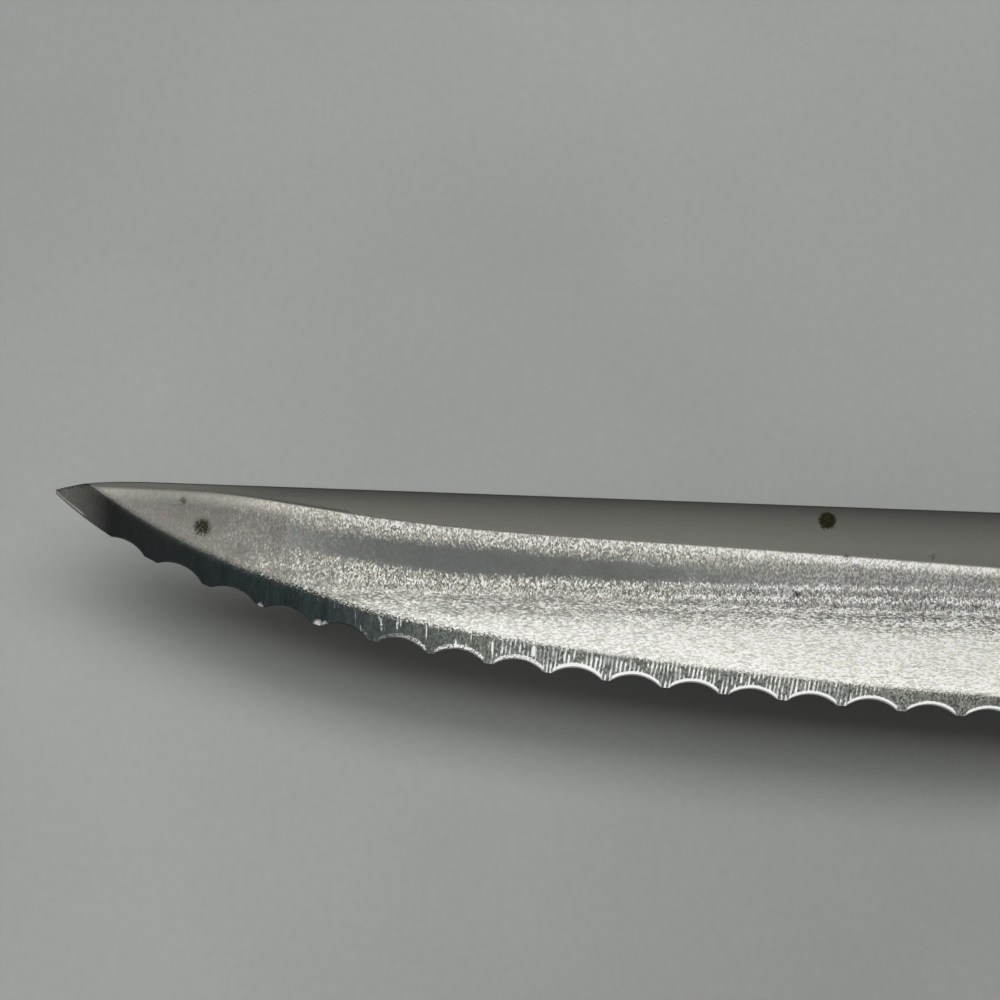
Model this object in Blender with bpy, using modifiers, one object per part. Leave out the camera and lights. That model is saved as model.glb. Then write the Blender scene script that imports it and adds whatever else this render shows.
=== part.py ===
"""Trimming knife with a hollow-ground, scalloped blade and a riveted full-tang handle.

Units are metres. The knife lies on its right scale: the tip points along -X, the butt along +X,
the spine faces +Y, the edge -Y, and the left side of the blade looks up along +Z.
The shapes are drawn with x = 0 at the front of the handle, y = 0 on the spine and z = 0 in the
middle of the steel, and the root empty carries them to an origin under the middle of the knife.
"""

import math

import bmesh
import bpy
import numpy as np
from mathutils import Matrix, Vector
from mathutils.geometry import interpolate_bezier

# Blade outline
BLADE_LENGTH = 0.124
RICASSO_LENGTH = 0.005
HEEL_DEPTH = 0.018
BELLY_FROM_TIP = 0.0232
BELLY_DEPTH = 0.01157
BELLY_ANGLE = 16.3
TIP_ANGLE = 40.5
TIP_DROP = 0.0008
TIP_DROP_LENGTH = 0.010
TIP_DROP_POWER = 3.2
TIP_BLUNT = 0.00035

# Blade thickness and grinds
BLADE_THICKNESS = 0.0016
TIP_THICKNESS = 0.0010
TAPER_LENGTH = 0.060
TAPER_POWER = 2
HOLLOW_WHEEL_RADIUS = 0.051
HOLLOW_LOW_SHARE = 0.25
BACK_WHEEL_RADIUS = 0.250
BEVEL_ANGLE = 20.0
EDGE_THICKNESS = 0.00012
GRIND_START_FROM_TIP = 0.009
GRIND_START_DEPTH = 0.0005
GRIND_MIDDLE_FROM_TIP = 0.0473
GRIND_MIDDLE_DEPTH = 0.00343
GRIND_ANGLE = 1.5
GRIND_END_DEPTH = 0.0058
PLUNGE_LENGTH = 0.008
PLUNGE_POWER = 3

# Scalloped edge, each scallop ground by a cone that is wider on the left side
SCALLOP_PITCH = 0.00495
SCALLOP_RADIUS = 0.0033
SCALLOP_DEPTH = 0.00075
FIRST_SCALLOP_DEPTH = 0.00045
FIRST_SCALLOP_FROM_TIP = 0.00765
SCALLOP_RIM_ANGLE = 30.0

# Handle outline
HANDLE_LENGTH = 0.118
FRONT_TOP_ANGLE = 2.0
FRONT_BOTTOM_ANGLE = 4.0
CREST_FROM_FRONT = 0.040
CREST_HEIGHT = 0.0012
SHOULDER_FROM_BUTT = 0.030
SHOULDER_DEPTH = 0.0004
PALM_FROM_FRONT = 0.050
PALM_DEPTH = 0.024
WAIST_FROM_BUTT = 0.036
WAIST_DEPTH = 0.0215
HOOK_FROM_BUTT = 0.012
HOOK_DEPTH = 0.026
BUTT_TOP_DEPTH = 0.0095
BUTT_BOTTOM_DEPTH = 0.0175

# Scales
SCALE_THICKNESS = 0.0072
SCALE_WALL = 0.0022
BOND_GAP = 0.0001

# Rivets: a solid pin pressed into a tubular socket, with flush heads on both sides
FRONT_RIVET_FROM_FRONT = 0.020
REAR_RIVET_FROM_BUTT = 0.020
PIN_RADIUS = 0.0016
PIN_CHAMFER = 0.0004
TUBE_WALL = 0.0008
HEAD_RADIUS = 0.0038
HEAD_THICKNESS = 0.0016
END_GAP = 0.0005
FIT_CLEARANCE = 0.0001

# Fineness of the curved faces
CURVE_STEPS = 24
TAPER_STATIONS = 20
TAPER_STATION_POWER = 1.8
BODY_STATIONS = 10
PLUNGE_STATIONS = 7
HANDLE_STATIONS = 40
GRIND_STEPS = 6
ROUND_STEPS = 6
RIVET_STEPS = 32
SCALLOP_SEGMENTS = 48
CUTTER_MARGIN = 0.0005
SLOPE_STEP = 0.001
BEVEL_ROUNDS = 12
MERGE_DISTANCE = 1e-7
SHARP_ANGLE = 25.0

TUBE_RADIUS = PIN_RADIUS + FIT_CLEARANCE + TUBE_WALL
HALF_HANDLE = BLADE_THICKNESS / 2 + BOND_GAP + SCALE_THICKNESS
HEAD_FLOOR = HALF_HANDLE - HEAD_THICKNESS
PLUNGE_END = -RICASSO_LENGTH
PLUNGE_START = PLUNGE_END - PLUNGE_LENGTH


def curve_through(*knots):
    """Points of a smooth line; a knot is x, y, heading in degrees, and its pull before and after.

    A pull is the share of the distance to the next knot over which the heading is held.
    """
    points = []
    for near, far in zip(knots, knots[1:]):
        start = Vector((near[0], near[1]))
        end = Vector((far[0], far[1]))
        reach = (end - start).length
        leaving = Vector((math.cos(math.radians(near[2])), math.sin(math.radians(near[2]))))
        arriving = Vector((math.cos(math.radians(far[2])), math.sin(math.radians(far[2]))))
        out_handle = start + leaving * reach * near[4]
        in_handle = end - arriving * reach * far[3]
        points += interpolate_bezier(start, out_handle, in_handle, end, CURVE_STEPS)
    return np.array([tuple(point) for point in points])


def depth_at(line, x):
    return float(np.interp(x, line[:, 0], line[:, 1]))


EDGE_LINE = curve_through(
    (-BLADE_LENGTH, -TIP_DROP - TIP_BLUNT, -TIP_ANGLE, 0.0, 0.38),
    (BELLY_FROM_TIP - BLADE_LENGTH, -BELLY_DEPTH, -BELLY_ANGLE, 0.24, 0.20),
    (PLUNGE_END, -HEEL_DEPTH, 0.0, 0.18, 0.0),
)
GRIND_LINE = curve_through(
    (GRIND_START_FROM_TIP - BLADE_LENGTH, -GRIND_START_DEPTH, 0.0, 0.0, 0.28),
    (GRIND_MIDDLE_FROM_TIP - BLADE_LENGTH, -GRIND_MIDDLE_DEPTH, -GRIND_ANGLE, 0.66, 0.33),
    (PLUNGE_START, -GRIND_END_DEPTH, -GRIND_ANGLE, 0.33, 0.45),
    (PLUNGE_END, -HEEL_DEPTH, -90.0, 0.55, 0.0),
)
HANDLE_TOP = curve_through(
    (0.0, 0.0, FRONT_TOP_ANGLE, 0.0, 0.35),
    (CREST_FROM_FRONT, CREST_HEIGHT, 0.0, 0.4, 0.4),
    (HANDLE_LENGTH - SHOULDER_FROM_BUTT, -SHOULDER_DEPTH, -2.0, 0.4, 0.6),
    (HANDLE_LENGTH, -BUTT_TOP_DEPTH, -90.0, 0.25, 0.0),
)
HANDLE_BOTTOM = curve_through(
    (0.0, -HEEL_DEPTH, -FRONT_BOTTOM_ANGLE, 0.0, 0.35),
    (PALM_FROM_FRONT, -PALM_DEPTH, 0.0, 0.4, 0.4),
    (HANDLE_LENGTH - WAIST_FROM_BUTT, -WAIST_DEPTH, 0.0, 0.4, 0.4),
    (HANDLE_LENGTH - HOOK_FROM_BUTT, -HOOK_DEPTH, 0.0, 0.4, 0.5),
    (HANDLE_LENGTH, -BUTT_BOTTOM_DEPTH, 90.0, 0.4, 0.0),
)


def steel_thickness(x):
    """Full thickness at the handle, thinning toward the tip over the taper."""
    from_tip = x + BLADE_LENGTH
    if from_tip >= TAPER_LENGTH:
        return BLADE_THICKNESS
    thinning = (1 - from_tip / TAPER_LENGTH) ** TAPER_POWER
    return BLADE_THICKNESS - (BLADE_THICKNESS - TIP_THICKNESS) * thinning


def spine_height(x):
    """The spine is straight but for its drop to the tip."""
    from_tip = x + BLADE_LENGTH
    if from_tip >= TIP_DROP_LENGTH:
        return 0.0
    return -TIP_DROP * (1 - from_tip / TIP_DROP_LENGTH) ** TIP_DROP_POWER


def edge_thickness(x):
    """Thin along the edge, growing to the full steel where the grinds run out."""
    along = max(0.0, (x - PLUNGE_START) / PLUNGE_LENGTH)
    return EDGE_THICKNESS + (steel_thickness(x) - EDGE_THICKNESS) * along ** PLUNGE_POWER


def hollow_dip(above_bevel, hollow):
    """Depth of the left hollow, a wheel's arc that is deepest a little way above the bevel."""
    low = HOLLOW_LOW_SHARE * hollow
    return max(0.0, (hollow - low) ** 2 - (above_bevel - low) ** 2) / (2 * HOLLOW_WHEEL_RADIUS)


def bevel_width(thickness, thin, ground):
    """Width at which the bevel plane meets the two hollows above it."""
    slope = math.tan(math.radians(BEVEL_ANGLE))
    width = 0.0
    for _ in range(BEVEL_ROUNDS):
        front = hollow_dip(0.0, ground - width)
        back = (ground ** 2 - width ** 2) / (2 * BACK_WHEEL_RADIUS)
        width = min(max((thickness - thin - front - back) / slope, 0.0), ground)
    return width


def blade_section(x):
    """Ring of the blade at x: down the left face, round the edge and up the right face."""
    top = spine_height(x)
    bottom = depth_at(EDGE_LINE, x)
    slant = math.cos(math.atan2(bottom - depth_at(EDGE_LINE, x + SLOPE_STEP), SLOPE_STEP))
    height = (top - bottom) * slant
    ground = max(0.0, (depth_at(GRIND_LINE, x) - bottom) * slant)
    ground = min(ground, height)
    thickness = steel_thickness(x)
    thin = edge_thickness(x)
    bevel = bevel_width(thickness, thin, ground)
    hollow = ground - bevel
    slope = math.tan(math.radians(BEVEL_ANGLE))

    def back_level(above_edge):
        dip = max(0.0, ground ** 2 - above_edge ** 2) / (2 * BACK_WHEEL_RADIUS)
        return dip - thickness / 2

    def front_level(above_edge):
        bevel_plane = back_level(0.0) + thin + above_edge * slope
        return min(thickness / 2 - hollow_dip(above_edge - bevel, hollow), bevel_plane)

    front = [height]
    front += [bevel + hollow * step / GRIND_STEPS for step in range(GRIND_STEPS, -1, -1)]
    front.append(0.0)
    back = [ground * step / GRIND_STEPS for step in range(GRIND_STEPS + 1)]
    back.append(height)
    ring = [(x, bottom + rise / slant, front_level(rise)) for rise in front]
    ring += [(x, bottom + rise / slant, back_level(rise)) for rise in back]
    return ring


def tang_section(x):
    """Flat ring of the tang, with the same number of points as the blade's rings."""
    top = depth_at(HANDLE_TOP, x)
    bottom = depth_at(HANDLE_BOTTOM, x)
    level = BLADE_THICKNESS / 2
    ring = [(x, top, level)] + [(x, bottom, level)] * (GRIND_STEPS + 2)
    ring += [(x, bottom, -level)] * (GRIND_STEPS + 1) + [(x, top, -level)]
    return ring


def scale_section(x, side):
    """Ring of a scale: flat against the tang, with a rounded rim round a flat outer face."""
    top = depth_at(HANDLE_TOP, x)
    bottom = depth_at(HANDLE_BOTTOM, x)
    round_radius = SCALE_THICKNESS - SCALE_WALL
    from_end = min(x, HANDLE_LENGTH - x, round_radius)
    rim = math.sqrt(round_radius ** 2 - (round_radius - from_end) ** 2)
    bond = BLADE_THICKNESS / 2 + BOND_GAP
    wall = bond + SCALE_WALL
    turns = [math.radians(90 * step / ROUND_STEPS) for step in range(ROUND_STEPS + 1)]
    ring = [(top, bond)]
    ring += [(top - rim * (1 - math.cos(turn)), wall + rim * math.sin(turn)) for turn in turns]
    ring += [(bottom + rim * (1 - math.cos(turn)), wall + rim * math.sin(turn)) for turn in turns[::-1]]
    ring.append((bottom, bond))
    return [(x, y, side * z) for y, z in ring]


def loft(name, rings):
    """Closed mesh through rings of equal count, capped at both ends."""
    shape = bmesh.new()
    loops = [[shape.verts.new(point) for point in ring] for ring in rings]
    for near, far in zip(loops, loops[1:]):
        for i in range(len(near)):
            j = (i + 1) % len(near)
            shape.faces.new((near[i], near[j], far[j], far[i]))
    shape.faces.new(loops[0])
    shape.faces.new(loops[-1])
    bmesh.ops.remove_doubles(shape, verts=shape.verts, dist=MERGE_DISTANCE)
    bmesh.ops.recalc_face_normals(shape, faces=shape.faces)
    mesh = bpy.data.meshes.new(name)
    shape.to_mesh(mesh)
    shape.free()
    return mesh


def turned(name, profile):
    """Object turned about Z from a profile of radius and height that runs down its outer side."""
    mesh = bpy.data.meshes.new(name)
    points = [(radius, 0.0, height) for radius, height in profile]
    mesh.from_pydata(points, [(i, i + 1) for i in range(len(points) - 1)], [])
    piece = bpy.data.objects.new(name, mesh)
    screw = piece.modifiers.new("turn", "SCREW")
    screw.steps = RIVET_STEPS
    screw.render_steps = RIVET_STEPS
    screw.use_merge_vertices = True
    screw.merge_threshold = MERGE_DISTANCE
    screw.use_smooth_shade = False
    return piece


def place(piece, collection, root, material=None):
    collection.objects.link(piece)
    piece.parent = root
    if material:
        piece.data.materials.append(material)
    return piece


def place_cutter(piece, collection, root):
    place(piece, collection, root)
    piece.hide_render = True
    piece.display_type = "WIRE"


def smooth(mesh):
    mesh.shade_smooth()
    mesh.set_sharp_from_angle(angle=math.radians(SHARP_ANGLE))


def cut(piece, cutters):
    boolean = piece.modifiers.new(cutters.name, "BOOLEAN")
    boolean.operation = "DIFFERENCE"
    boolean.operand_type = "COLLECTION"
    boolean.collection = cutters
    boolean.solver = "EXACT"


def finish(name, color, metallic, roughness):
    material = bpy.data.materials.new(name)
    material.use_nodes = True
    shader = material.node_tree.nodes["Principled BSDF"]
    shader.inputs["Base Color"].default_value = (*color, 1.0)
    shader.inputs["Metallic"].default_value = metallic
    shader.inputs["Roughness"].default_value = roughness
    material.diffuse_color = (*color, 1.0)
    return material


def blade_stations():
    """Stations from the tip to the butt, close together at the tip, the plunge and the butt."""
    taper_end = TAPER_LENGTH - BLADE_LENGTH
    shares = [(i / TAPER_STATIONS) ** TAPER_STATION_POWER for i in range(TAPER_STATIONS)]
    stations = [TAPER_LENGTH * share - BLADE_LENGTH for share in shares]
    stations += list(np.linspace(taper_end, PLUNGE_START, BODY_STATIONS, endpoint=False))
    for i in range(PLUNGE_STATIONS + 1):
        stations.append(PLUNGE_START + PLUNGE_LENGTH * math.sin(math.pi / 2 * i / PLUNGE_STATIONS))
    return stations


def handle_stations():
    """Stations from the front of the handle to the butt, close together at both ends."""
    turns = [math.pi * i / HANDLE_STATIONS for i in range(HANDLE_STATIONS + 1)]
    return [HANDLE_LENGTH * (1 - math.cos(turn)) / 2 for turn in turns]


def blade():
    rings = [blade_section(x) for x in blade_stations()]
    rings += [tang_section(x) for x in handle_stations()]
    return bpy.data.objects.new("blade", loft("blade", rings))


def scale(name, side):
    rings = [scale_section(x, side) for x in handle_stations()]
    return bpy.data.objects.new(name, loft(name, rings))


def scallop(name, along, depth):
    """Cone that grinds one scallop, set along the edge by its distance from the tip."""
    lengths = np.concatenate(([0.0], np.cumsum(np.hypot(*np.diff(EDGE_LINE, axis=0).T))))
    x = np.interp(along, lengths, EDGE_LINE[:, 0])
    y = np.interp(along, lengths, EDGE_LINE[:, 1])
    ahead_x = np.interp(along + SLOPE_STEP, lengths, EDGE_LINE[:, 0]) - x
    ahead_y = np.interp(along + SLOPE_STEP, lengths, EDGE_LINE[:, 1]) - y
    outward = Vector((ahead_y, -ahead_x)).normalized() * (SCALLOP_RADIUS - depth)
    edge_level = blade_section(x)[GRIND_STEPS + 2][2]
    top = BLADE_THICKNESS / 2 + CUTTER_MARGIN
    flare = math.tan(math.radians(SCALLOP_RIM_ANGLE))
    shape = bmesh.new()
    bmesh.ops.create_cone(
        shape,
        cap_ends=True,
        segments=SCALLOP_SEGMENTS,
        radius1=SCALLOP_RADIUS - (edge_level + top) * flare,
        radius2=SCALLOP_RADIUS + (top - edge_level) * flare,
        depth=2 * top,
        matrix=Matrix.Translation((x + outward.x, y + outward.y, 0.0)),
    )
    mesh = bpy.data.meshes.new(name)
    shape.to_mesh(mesh)
    shape.free()
    return bpy.data.objects.new(name, mesh)


def scallops():
    """Scallops at an even pitch along the edge, from behind the plain tip to the plunge."""
    steps = np.hypot(*np.diff(EDGE_LINE, axis=0).T)
    last = float(steps.sum()) - PLUNGE_LENGTH - SCALLOP_PITCH / 2
    count = 1 + int((last - FIRST_SCALLOP_FROM_TIP) / SCALLOP_PITCH)
    cutters = []
    for i in range(count):
        depth = SCALLOP_DEPTH if i else FIRST_SCALLOP_DEPTH
        along = FIRST_SCALLOP_FROM_TIP + i * SCALLOP_PITCH
        cutters.append(scallop(f"scallop_cone_{i + 1:02}", along, depth))
    return cutters


def rivet_places():
    """Names and places of the rivets, midway between the handle's two outlines."""
    front = FRONT_RIVET_FROM_FRONT
    rear = HANDLE_LENGTH - REAR_RIVET_FROM_BUTT
    places = {}
    for name, x in (("front", front), ("middle", (front + rear) / 2), ("rear", rear)):
        places[name] = (x, (depth_at(HANDLE_TOP, x) + depth_at(HANDLE_BOTTOM, x)) / 2, 0.0)
    return places


def rivet_socket(name):
    """Tubular half: its head is flush with the left scale and its tube passes the tang."""
    bore = PIN_RADIUS + FIT_CLEARANCE
    return turned(name, [
        (0.0, HALF_HANDLE),
        (HEAD_RADIUS, HALF_HANDLE),
        (HEAD_RADIUS, HEAD_FLOOR),
        (TUBE_RADIUS, HEAD_FLOOR),
        (TUBE_RADIUS, END_GAP - HEAD_FLOOR),
        (bore, END_GAP - HEAD_FLOOR),
        (bore, HEAD_FLOOR),
        (0.0, HEAD_FLOOR),
    ])


def rivet_pin(name):
    """Solid half: its head is flush with the right scale and its shank fills the tube."""
    tip = HEAD_FLOOR - END_GAP
    return turned(name, [
        (0.0, tip),
        (PIN_RADIUS - PIN_CHAMFER, tip),
        (PIN_RADIUS, tip - PIN_CHAMFER),
        (PIN_RADIUS, -HEAD_FLOOR),
        (HEAD_RADIUS, -HEAD_FLOOR),
        (HEAD_RADIUS, -HALF_HANDLE),
        (0.0, -HALF_HANDLE),
    ])


def rivet_bore(name):
    """Cutter for a rivet's hole, with a counterbore for the head on each side."""
    outside = HALF_HANDLE + CUTTER_MARGIN
    floor = HEAD_FLOOR - FIT_CLEARANCE
    wide = HEAD_RADIUS + FIT_CLEARANCE
    narrow = TUBE_RADIUS + FIT_CLEARANCE
    return turned(name, [
        (0.0, outside),
        (wide, outside),
        (wide, floor),
        (narrow, floor),
        (narrow, -floor),
        (wide, -floor),
        (wide, -outside),
        (0.0, -outside),
    ])


def new_collection(name, parent):
    collection = bpy.data.collections.new(name)
    parent.children.link(collection)
    return collection


def main():
    for leftover in list(bpy.data.objects):
        bpy.data.objects.remove(leftover)
    scene_root = bpy.context.scene.collection
    knife = new_collection("trimming_knife", scene_root)
    cutters = new_collection("cutters", scene_root)
    edge_cutters = new_collection("edge_scallops", cutters)
    bore_cutters = new_collection("rivet_bores", cutters)

    root = bpy.data.objects.new("knife_root", None)
    root.location.x = (BLADE_LENGTH - HANDLE_LENGTH) / 2
    root.location.y = -(HANDLE_TOP[:, 1].max() + HANDLE_BOTTOM[:, 1].min()) / 2
    root.location.z = HALF_HANDLE
    knife.objects.link(root)

    steel = finish("ground_steel", (0.60, 0.59, 0.57), 1.0, 0.32)
    wood = finish("dark_hardwood", (0.135, 0.062, 0.030), 0.0, 0.45)
    brass = finish("brass", (0.78, 0.60, 0.30), 1.0, 0.28)

    for cutter in scallops():
        place_cutter(cutter, edge_cutters, root)
    for name, spot in rivet_places().items():
        bore = rivet_bore(f"{name}_rivet_bore")
        bore.location = spot
        place_cutter(bore, bore_cutters, root)
        for half in (rivet_socket(f"{name}_rivet_socket"), rivet_pin(f"{name}_rivet_pin")):
            half.location = spot
            place(half, knife, root, brass)

    steel_piece = place(blade(), knife, root, steel)
    smooth(steel_piece.data)
    cut(steel_piece, edge_cutters)
    cut(steel_piece, bore_cutters)
    for name, side in (("left_scale", 1), ("right_scale", -1)):
        wood_piece = place(scale(name, side), knife, root, wood)
        smooth(wood_piece.data)
        cut(wood_piece, bore_cutters)


main()
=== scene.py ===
"""Looks of a trimming knife: a ground and scalloped steel blade, dark wood scales and brass rivets.

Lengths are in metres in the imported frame: the tip points along -X, the spine faces +Y and the left
side of the blade looks up along +Z. The shapes are drawn with x = 0 at the front of the handle,
y = 0 on the spine and z = 0 in the middle of the steel. Materials are written in millimetres.
"""

from math import cos, hypot, pi, radians, sin, sqrt, tan, tau

import bmesh
import bpy
import numpy as np
from mathutils import Matrix, Vector
from mathutils.geometry import interpolate_bezier


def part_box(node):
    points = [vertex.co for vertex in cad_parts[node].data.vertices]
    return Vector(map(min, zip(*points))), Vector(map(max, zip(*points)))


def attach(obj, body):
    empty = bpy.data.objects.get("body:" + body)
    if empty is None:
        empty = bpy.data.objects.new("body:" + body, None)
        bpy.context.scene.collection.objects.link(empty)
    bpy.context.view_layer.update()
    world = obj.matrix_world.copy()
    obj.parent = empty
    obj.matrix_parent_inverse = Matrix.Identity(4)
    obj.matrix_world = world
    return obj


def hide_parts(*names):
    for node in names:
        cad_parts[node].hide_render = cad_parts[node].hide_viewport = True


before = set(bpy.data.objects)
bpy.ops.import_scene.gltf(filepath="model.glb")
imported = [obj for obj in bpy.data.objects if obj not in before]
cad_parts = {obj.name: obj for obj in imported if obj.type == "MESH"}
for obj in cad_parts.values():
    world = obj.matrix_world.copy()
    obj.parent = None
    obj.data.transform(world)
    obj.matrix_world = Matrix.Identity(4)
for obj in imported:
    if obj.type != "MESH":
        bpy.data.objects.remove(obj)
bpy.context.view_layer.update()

MM = 1000.0

# Places and overall sizes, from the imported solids
BLADE_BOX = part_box("blade")
SCALE_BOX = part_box("left_scale")
CREST_HEIGHT = 0.0012
ORIGIN = Vector((SCALE_BOX[0].x, BLADE_BOX[1].y - CREST_HEIGHT, (BLADE_BOX[0].z + BLADE_BOX[1].z) / 2))
BLADE_LENGTH = ORIGIN.x - BLADE_BOX[0].x
HANDLE_LENGTH = SCALE_BOX[1].x - ORIGIN.x
BLADE_THICKNESS = BLADE_BOX[1].z - BLADE_BOX[0].z
SCALE_THICKNESS = SCALE_BOX[1].z - SCALE_BOX[0].z
BOND_GAP = SCALE_BOX[0].z - BLADE_BOX[1].z

# Blade outline
RICASSO_LENGTH = 0.005
HEEL_DEPTH = 0.018
BELLY_FROM_TIP = 0.0232
BELLY_DEPTH = 0.01157
BELLY_ANGLE = 16.3
TIP_ANGLE = 40.5
TIP_DROP = 0.0008
TIP_DROP_LENGTH = 0.010
TIP_DROP_POWER = 3.2
TIP_BLUNT = 0.00035

# Blade thickness and grinds
TIP_THICKNESS = 0.0010
TAPER_LENGTH = 0.060
TAPER_POWER = 2
HOLLOW_WHEEL_RADIUS = 0.051
HOLLOW_LOW_SHARE = 0.25
BACK_WHEEL_RADIUS = 0.250
BEVEL_ANGLE = 20.0
EDGE_THICKNESS = 0.00012
GRIND_START_FROM_TIP = 0.009
GRIND_START_DEPTH = 0.0005
GRIND_MIDDLE_FROM_TIP = 0.0473
GRIND_MIDDLE_DEPTH = 0.00343
GRIND_ANGLE = 1.5
GRIND_END_DEPTH = 0.0058
PLUNGE_LENGTH = 0.008
PLUNGE_POWER = 3
SPINE_ROUND = 0.00003
LIP_WIDTH = 0.00002
RIM_WIDTH = 0.00010
RIM_RISE = 0.00010
BEVEL_ROUNDS = 12
SLOPE_STEP = 0.001

# Scalloped edge
SCALLOP_PITCH = 0.00495
SCALLOP_RADIUS = 0.0035
SCALLOP_DEPTH = 0.00075
FIRST_SCALLOP_DEPTH = 0.00045
FIRST_SCALLOP_FROM_TIP = 0.00765
SCALLOP_RIM_ANGLE = 14.0
SCALLOP_SCATTER = 0.07

# Handle outline
FRONT_TOP_ANGLE = 2.0
FRONT_BOTTOM_ANGLE = 4.0
CREST_FROM_FRONT = 0.040
SHOULDER_FROM_BUTT = 0.030
SHOULDER_DEPTH = 0.0004
SHOULDER_ANGLE = 2.0
PALM_FROM_FRONT = 0.050
PALM_DEPTH = 0.024
WAIST_FROM_BUTT = 0.036
WAIST_DEPTH = 0.0215
HOOK_FROM_BUTT = 0.012
HOOK_DEPTH = 0.026
BUTT_TOP_DEPTH = 0.0095
BUTT_BOTTOM_DEPTH = 0.0175
SCALE_WALL = 0.0022

# Rivets
PIN_RADIUS = 0.0016
PIN_CHAMFER = 0.0004
TUBE_WALL = 0.0008
HEAD_THICKNESS = 0.0016
HEAD_ROUND = 0.00025
HEAD_CROWN = 0.00006
END_GAP = 0.0005
FIT_CLEARANCE = 0.0001
RIVETS = ("front", "middle", "rear")

# Fineness of the meshes
LINE_STEPS = 160
TIP_COLUMNS = 30
TIP_COLUMN_POWER = 1.5
SCALLOP_COLUMNS = 25
HEEL_COLUMNS = 34
RICASSO_COLUMNS = 5
HANDLE_COLUMNS = 121
ROUND_ROWS = 4
FLAT_ROWS = 8
HOLLOW_ROWS = 22
BEVEL_ROWS = 8
WALL_ROWS = 4
RIM_STEPS = 14
RIVET_STEPS = 72
HEAD_STEPS = 6
HEAD_ROUND_STEPS = 4
REACH_STEPS = 1200
CUT_STEPS = 300
LONGEST_REACH = 0.030
DEEPEST_CUT = 0.003
MERGE_DISTANCE = 1e-6
DEGENERATE_DISTANCE = 1e-7
TINY = 1e-12
CREASE_ANGLE = 6.0
RIVET_CREASE_ANGLE = 30.0
SHARP_ANGLE = 40.0
SPINE_ROUND_MARGIN = 1.05
CUTTER_MARGIN = 0.0005
SEED = 7

# Facts that the blade's mesh hands to its material, and the sockets of a mixing node
FACTS = ("from_spine", "below_grind", "above_bevel", "above_rim", "from_tip", "notch", "side", "rim")
NUMBER_SOCKETS = (2, 3)
COLOR_SOCKETS = (6, 7)
COLOR_OUTPUT = 2

# Camera, floor and light
IMAGE_SIZE = 1000
TIP_PIXEL = (55.0, 489.0)
PIXELS_PER_MM = 11.9
FIELD_OF_VIEW = 35.0
CAMERA_TILT = 8.0
CAMERA_ROLL = 2.08
NEAREST_SEEN = 0.005
FLOOR_SIZE = 4.0
LIGHT_DISTANCE = 0.9
AMBIENT = 0.145
SURROUND_BY_HEIGHT = (0.30, 0.72, 0.60, 0.12)

# Lights and cards: degrees across and before the vertical, half widths in degrees, radiance, and
# whether matt surfaces and shiny ones see it
LIGHTS = (
    ("far_light", (5.5, -44.5), (40.0, 8.75), 5.7, True, False),
    ("near_light", (0.0, -24.0), (38.0, 12.0), 2.45, True, True),
    ("overhead_card", (0.0, 20.0), (30.0, 7.0), 1.35, False, True),
    ("bevel_card", (8.0, 36.0), (24.0, 8.0), 0.9, False, True),
    ("low_card", (20.0, 72.0), (30.0, 12.0), 2.0, False, True),
)

# Rust pits on the left side: millimetres from the tip and below the spine, radius and strength
PITS = (
    (12.75, 3.6, 0.92, 0.56),
    (11.0, 1.45, 0.42, 0.42),
    (15.9, 5.0, 0.18, 0.3),
    (65.15, 1.2, 0.82, 1.0),
    (66.8, 4.15, 0.36, 0.42),
    (74.0, 3.9, 0.36, 0.42),
    (62.8, 7.5, 0.34, 0.5),
)

# Painted glints on nicks in the first teeth, placed in the same way
NICKS = (
    (17.8, 10.05, 0.28, 1.0),
    (22.7, 11.35, 0.34, 1.0),
    (23.3, 11.42, 0.30, 0.8),
)

# Noises: stretch along the axes, scale, detail and roughness
EVEN = (1, 1, 1)
STEEL_NOISES = {
    "fine": (EVEN, 6, 2, 0.6),
    "blotch": (EVEN, 0.4, 3, 0.55),
    "rows": ((0.08, 1, 0.2), 1.9, 2, 0.6),
    "scratches": ((0.5, 6, 0.5), 1, 3, 0.65),
    "streaks": ((2.2, 0.3, 0.3), 1, 3, 0.6),
    "breaks": ((3, 1.6, 0.3), 1, 1, 0.5),
}
WOOD_BANDS = ((0.035, 0.5, 0.5), 1, 4, 0.55)
WOOD_FIBRE = ((0.08, 2.6, 2.6), 1.2, 4, 0.65)
WOOD_PORES = ((0.22, 4.5, 4.5), 1, 1, 0.5)
WOOD_RUBBED = (EVEN, 0.06, 3, 0.6)
TARNISH = (EVEN, 0.55, 4, 0.6)
BRASS_SCRATCHES = ((0.4, 7, 1), 1, 2, 0.6)
FLOOR_CLOUDS = (EVEN, 0.03, 3, 0.5)
FLOOR_GRAIN = (EVEN, 1.2, 2, 0.6)

# Flecks of the hollow, as cells stretched along the axes; in the colour they are grind grain and
# painted sparkle
STANDING = (10, 5.6, 0.3)
LYING = (4.4, 11.5, 0.3)
TINTS = (4, 6, 0.3)
FLECK_POWER = 1.5
FLECK_RANGE = (1.8, -0.72)

# Measures of the steel: spread of the noises, and how far flecks and blotches push a distance
NOISE_MIDDLE = 0.5
RAGGED = (0.8, -0.4)
DEPTH_WAVES = (0.7, 0.6)
LENGTH_WAVES = (7, 12)
LINE_RAGGED = 0.12
STRIPE_BENDS = (34, 33.5)
STRIPE_SLOPES = (0.056, 0.115)
ROW_PITCH = 0.94
ROW_DEPTH = 8.09
ROW_SLOPE = 0.019
ROW_WAVES = (0.35, 0.25)
ROW_BREAKING = 3.0
CUT_PITCH = 0.36
CUT_LEAN = 2.0
CUT_DRIFT = 9.0
CUT_STRETCH = 4.0
CUT_LENGTH = 0.5
CUT_SCATTER = 2.2
PATCH_STRETCH = 0.45
LIT_DRIFT = 10.0
RIM_FRAYED = 0.28
PIT_RAGGED = 2.5
SPOT_PUSH = 0.2
SPOT_BORDER = (1.35, 0.35)

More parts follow.
